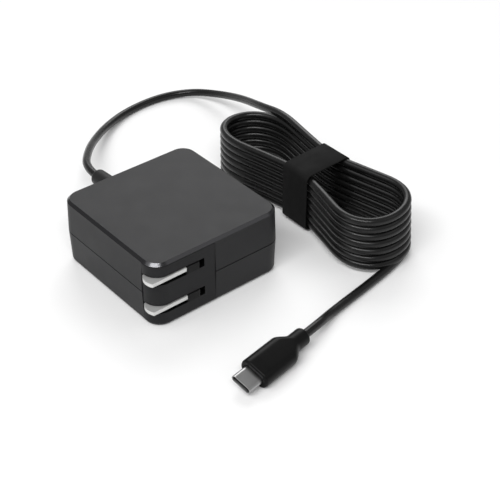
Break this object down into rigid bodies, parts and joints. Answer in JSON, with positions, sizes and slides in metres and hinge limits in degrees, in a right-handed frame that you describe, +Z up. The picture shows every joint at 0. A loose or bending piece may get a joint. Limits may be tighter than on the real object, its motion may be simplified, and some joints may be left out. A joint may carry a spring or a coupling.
{
  "type": "laptop power adapter",
  "caption": "Square USB-C wall charger with a swing-out two-blade plug head, and a captive cord wound in a strapped hank that ends in a USB-C plug.",
  "frame": {"origin": "centre of the square body's base, on the surface it stands on", "axes": "+Z up; +Y towards the face the cord leaves; the blades lie along -X when folded and point along -Y when swung out"},
  "size_m": [0.1205, 0.1849, 0.0278],
  "materials": {
    "shell_plastic": "fine matte moulded grain",
    "head_plastic": "fine matte moulded grain",
    "rotor_plastic": "smooth satin",
    "blade_metal": "bright nickel-plated brass",
    "spring_steel": "plain",
    "contact_brass": "plain",
    "cord_jacket": "smooth satin jacket",
    "relief_rubber": "matte",
    "strap_band": "smooth matte",
    "grip_rubber": "soft matte",
    "connector_steel": "bright stainless steel",
    "connector_plastic": "smooth",
    "contact_gold": "gold plated",
    "circuit_board": "green solder mask",
    "ferrite": "ground ferrite",
    "copper_winding": "enamelled copper wire",
    "winding_tape": "yellow tape",
    "bobbin_plastic": "black moulding",
    "capacitor_sleeve": "sleeved aluminium can",
    "capacitor_can": "bare aluminium can",
    "film_box": "yellow box",
    "ceramic_blue": "dipped coating",
    "ceramic_green": "dipped coating",
    "fuse_body": "sleeved",
    "chip_black": "moulded",
    "sink_aluminium": "plain sheet",
    "insulator": "thin sheet",
    "wire_black": "insulated",
    "wire_white": "insulated",
    "wire_red": "insulated"
  },
  "bodies": {
    "charger": {"top_shell": "shell_plastic", "bottom_shell": "shell_plastic", "plug_carrier": "head_plastic", "plug_cover": "head_plastic", "detent_spring": "spring_steel", "line_contact": "contact_brass", "neutral_contact": "contact_brass", "strain_relief": "relief_rubber", "insulating_sheet": "insulator", "heat_spreader": "sink_aluminium", "main_board": "circuit_board", "fuse": "fuse_body", "thermistor": "ceramic_green", "x_capacitor": "film_box", "choke_core": "ferrite", "choke_windings": "copper_winding", "choke_base": "bobbin_plastic", "bulk_capacitor_1": "capacitor_sleeve", "bulk_capacitor_2": "capacitor_sleeve", "bulk_capacitor_3": "capacitor_sleeve", "bridge_rectifier": "chip_black", "optocoupler": "chip_black", "transformer_core": "ferrite", "transformer_bobbin": "bobbin_plastic", "transformer_winding": "winding_tape", "heat_sink": "sink_aluminium", "power_transistor": "chip_black", "y_capacitor": "ceramic_blue", "output_capacitor_1": "capacitor_can", "output_capacitor_2": "capacitor_can", "output_capacitor_3": "capacitor_can", "output_inductor": "ferrite", "charging_board": "circuit_board", "charging_controller": "chip_black", "line_wire": "wire_black", "neutral_wire": "wire_white", "cord_inner": "cord_jacket", "supply_wire": "wire_red", "signal_wire": "wire_white", "return_wire": "wire_black", "cord_lead": "cord_jacket", "cord_hank": "cord_jacket", "cord_tail": "cord_jacket", "cord_strap": "strap_band", "usb_shell": "connector_steel", "usb_contacts": "contact_gold", "usb_insert": "connector_plastic", "usb_board": "circuit_board", "usb_grip": "grip_rubber"},
    "blades": {"blade_rotor": "rotor_plastic", "rotor_pin": "spring_steel", "blade_upper": "blade_metal", "blade_lower": "blade_metal"}
  },
  "joints": [
    {"name": "blades_swing", "type": "hinge", "parent": "charger", "child": "blades", "pos_m": [-0.0123, -0.02685, 0.01485], "axis": [0, 0, 1], "range_deg": [0, 90]}
  ]
}
